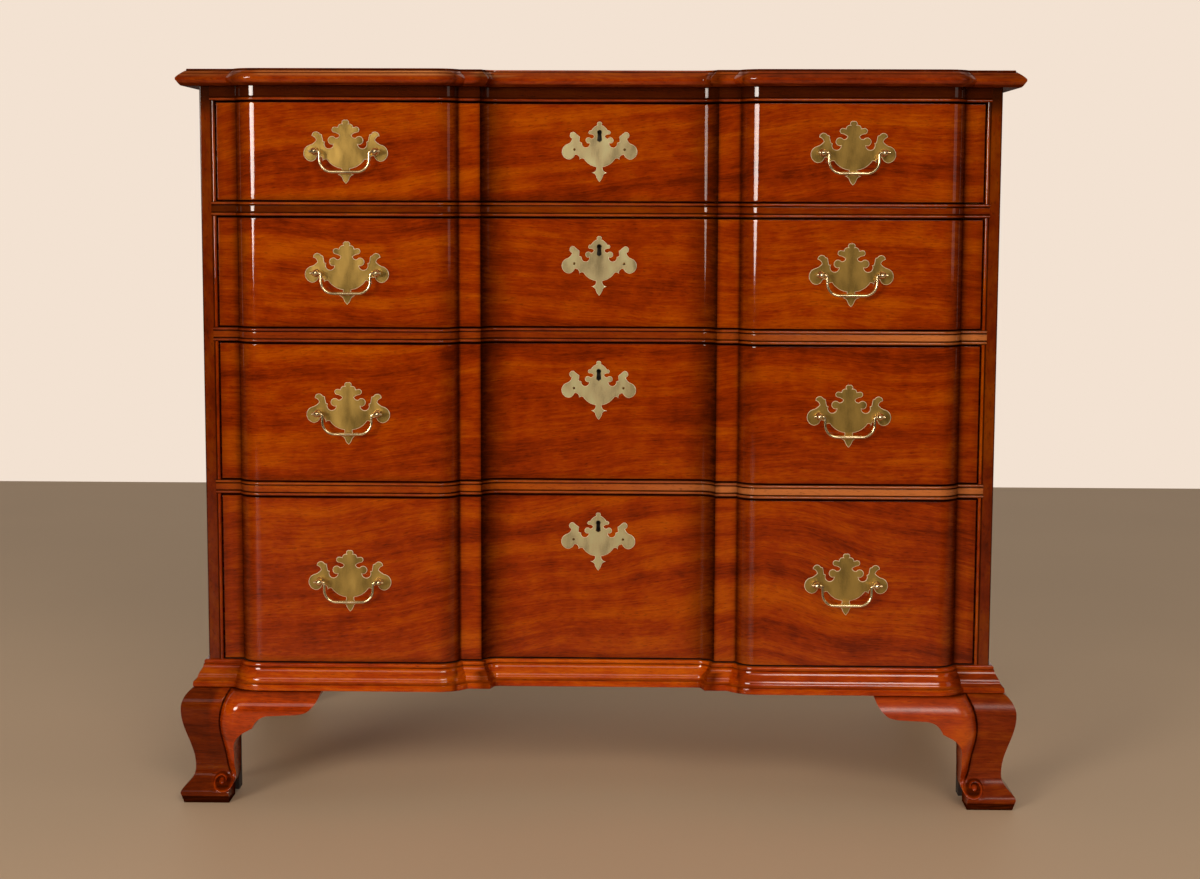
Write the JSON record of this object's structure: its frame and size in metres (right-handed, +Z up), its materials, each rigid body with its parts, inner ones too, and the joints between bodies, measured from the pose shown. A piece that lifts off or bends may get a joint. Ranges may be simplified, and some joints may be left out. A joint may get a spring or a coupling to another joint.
{
  "type": "block front chest",
  "caption": "Low chest of graduated sliding drawers with a blocked and recessed front, moulded top and base, brass bail pulls and ogee bracket feet.",
  "frame": {"origin": "on the floor under the centre of the chest's box", "axes": "+Z up, +X along the front towards the right as one faces the drawers, +Y from the front to the back; drawers open towards -Y"},
  "size_m": [1.015, 0.5376, 0.8862],
  "materials": {
    "mahogany": "polished lacquer",
    "secondary_wood": "planed, unfinished",
    "brass": "brushed, antiqued",
    "steel": "dull"
  },
  "bodies": {
    "case": {"top": "mahogany", "side_left": "mahogany", "side_right": "mahogany", "case_bottom": "secondary_wood", "back_panel": "secondary_wood", "top_rail": "mahogany", "drawer_rail_1": "mahogany", "drawer_rail_2": "mahogany", "drawer_rail_3": "mahogany", "rear_rails": "secondary_wood", "drawer_runners": "secondary_wood", "dust_panels": "secondary_wood", "base_moulding_front": "mahogany", "base_moulding_left": "mahogany", "base_moulding_right": "mahogany", "foot_front_left_face": "mahogany", "foot_front_left_flank": "mahogany", "foot_front_right_face": "mahogany", "foot_front_right_flank": "mahogany", "foot_rear_left_flank": "mahogany", "foot_rear_right_flank": "mahogany", "rear_foot_backs": "secondary_wood", "foot_glue_blocks": "secondary_wood", "case_screws": "steel"},
    "drawer_1": {"drawer_1_front": "mahogany", "drawer_1_sides": "secondary_wood", "drawer_1_back": "secondary_wood", "drawer_1_bottom": "secondary_wood", "drawer_1_escutcheon": "brass", "drawer_1_lock": "steel", "drawer_1_pull_mounts": "brass"},
    "bail_1_left": {"drawer_1_bail_left": "brass"},
    "bail_1_right": {"drawer_1_bail_right": "brass"},
    "drawer_2": {"drawer_2_front": "mahogany", "drawer_2_sides": "secondary_wood", "drawer_2_back": "secondary_wood", "drawer_2_bottom": "secondary_wood", "drawer_2_escutcheon": "brass", "drawer_2_lock": "steel", "drawer_2_pull_mounts": "brass"},
    "bail_2_left": {"drawer_2_bail_left": "brass"},
    "bail_2_right": {"drawer_2_bail_right": "brass"},
    "drawer_3": {"drawer_3_front": "mahogany", "drawer_3_sides": "secondary_wood", "drawer_3_back": "secondary_wood", "drawer_3_bottom": "secondary_wood", "drawer_3_escutcheon": "brass", "drawer_3_lock": "steel", "drawer_3_pull_mounts": "brass"},
    "bail_3_left": {"drawer_3_bail_left": "brass"},
    "bail_3_right": {"drawer_3_bail_right": "brass"},
    "drawer_4": {"drawer_4_front": "mahogany", "drawer_4_sides": "secondary_wood", "drawer_4_back": "secondary_wood", "drawer_4_bottom": "secondary_wood", "drawer_4_escutcheon": "brass", "drawer_4_lock": "steel", "drawer_4_pull_mounts": "brass"},
    "bail_4_left": {"drawer_4_bail_left": "brass"},
    "bail_4_right": {"drawer_4_bail_right": "brass"}
  },
  "joints": [
    {"name": "drawer_1_slide", "type": "slide", "parent": "case", "child": "drawer_1", "axis": [0, -1, 0], "range_m": [0, 0.36]},
    {"name": "bail_1_left_swing", "type": "hinge", "parent": "drawer_1", "child": "bail_1_left", "pos_m": [-0.2992, -0.2536, 0.78915], "axis": [-1, 0, 0], "range_deg": [-15, 150]},
    {"name": "bail_1_right_swing", "type": "hinge", "parent": "drawer_1", "child": "bail_1_right", "pos_m": [0.2992, -0.2536, 0.78915], "axis": [-1, 0, 0], "range_deg": [-15, 150]},
    {"name": "drawer_2_slide", "type": "slide", "parent": "case", "child": "drawer_2", "axis": [0, -1, 0], "range_m": [0, 0.36]},
    {"name": "bail_2_left_swing", "type": "hinge", "parent": "drawer_2", "child": "bail_2_left", "pos_m": [-0.2992, -0.2536, 0.64615], "axis": [-1, 0, 0], "range_deg": [-15, 150]},
    {"name": "bail_2_right_swing", "type": "hinge", "parent": "drawer_2", "child": "bail_2_right", "pos_m": [0.2992, -0.2536, 0.64615], "axis": [-1, 0, 0], "range_deg": [-15, 150]},
    {"name": "drawer_3_slide", "type": "slide", "parent": "case", "child": "drawer_3", "axis": [0, -1, 0], "range_m": [0, 0.36]},
    {"name": "bail_3_left_swing", "type": "hinge", "parent": "drawer_3", "child": "bail_3_left", "pos_m": [-0.2992, -0.2536, 0.4785], "axis": [-1, 0, 0], "range_deg": [-15, 150]},
    {"name": "bail_3_right_swing", "type": "hinge", "parent": "drawer_3", "child": "bail_3_right", "pos_m": [0.2992, -0.2536, 0.4785], "axis": [-1, 0, 0], "range_deg": [-15, 150]},
    {"name": "drawer_4_slide", "type": "slide", "parent": "case", "child": "drawer_4", "axis": [0, -1, 0], "range_m": [0, 0.36]},
    {"name": "bail_4_left_swing", "type": "hinge", "parent": "drawer_4", "child": "bail_4_left", "pos_m": [-0.2992, -0.2536, 0.2751], "axis": [-1, 0, 0], "range_deg": [-15, 150]},
    {"name": "bail_4_right_swing", "type": "hinge", "parent": "drawer_4", "child": "bail_4_right", "pos_m": [0.2992, -0.2536, 0.2751], "axis": [-1, 0, 0], "range_deg": [-15, 150]}
  ]
}
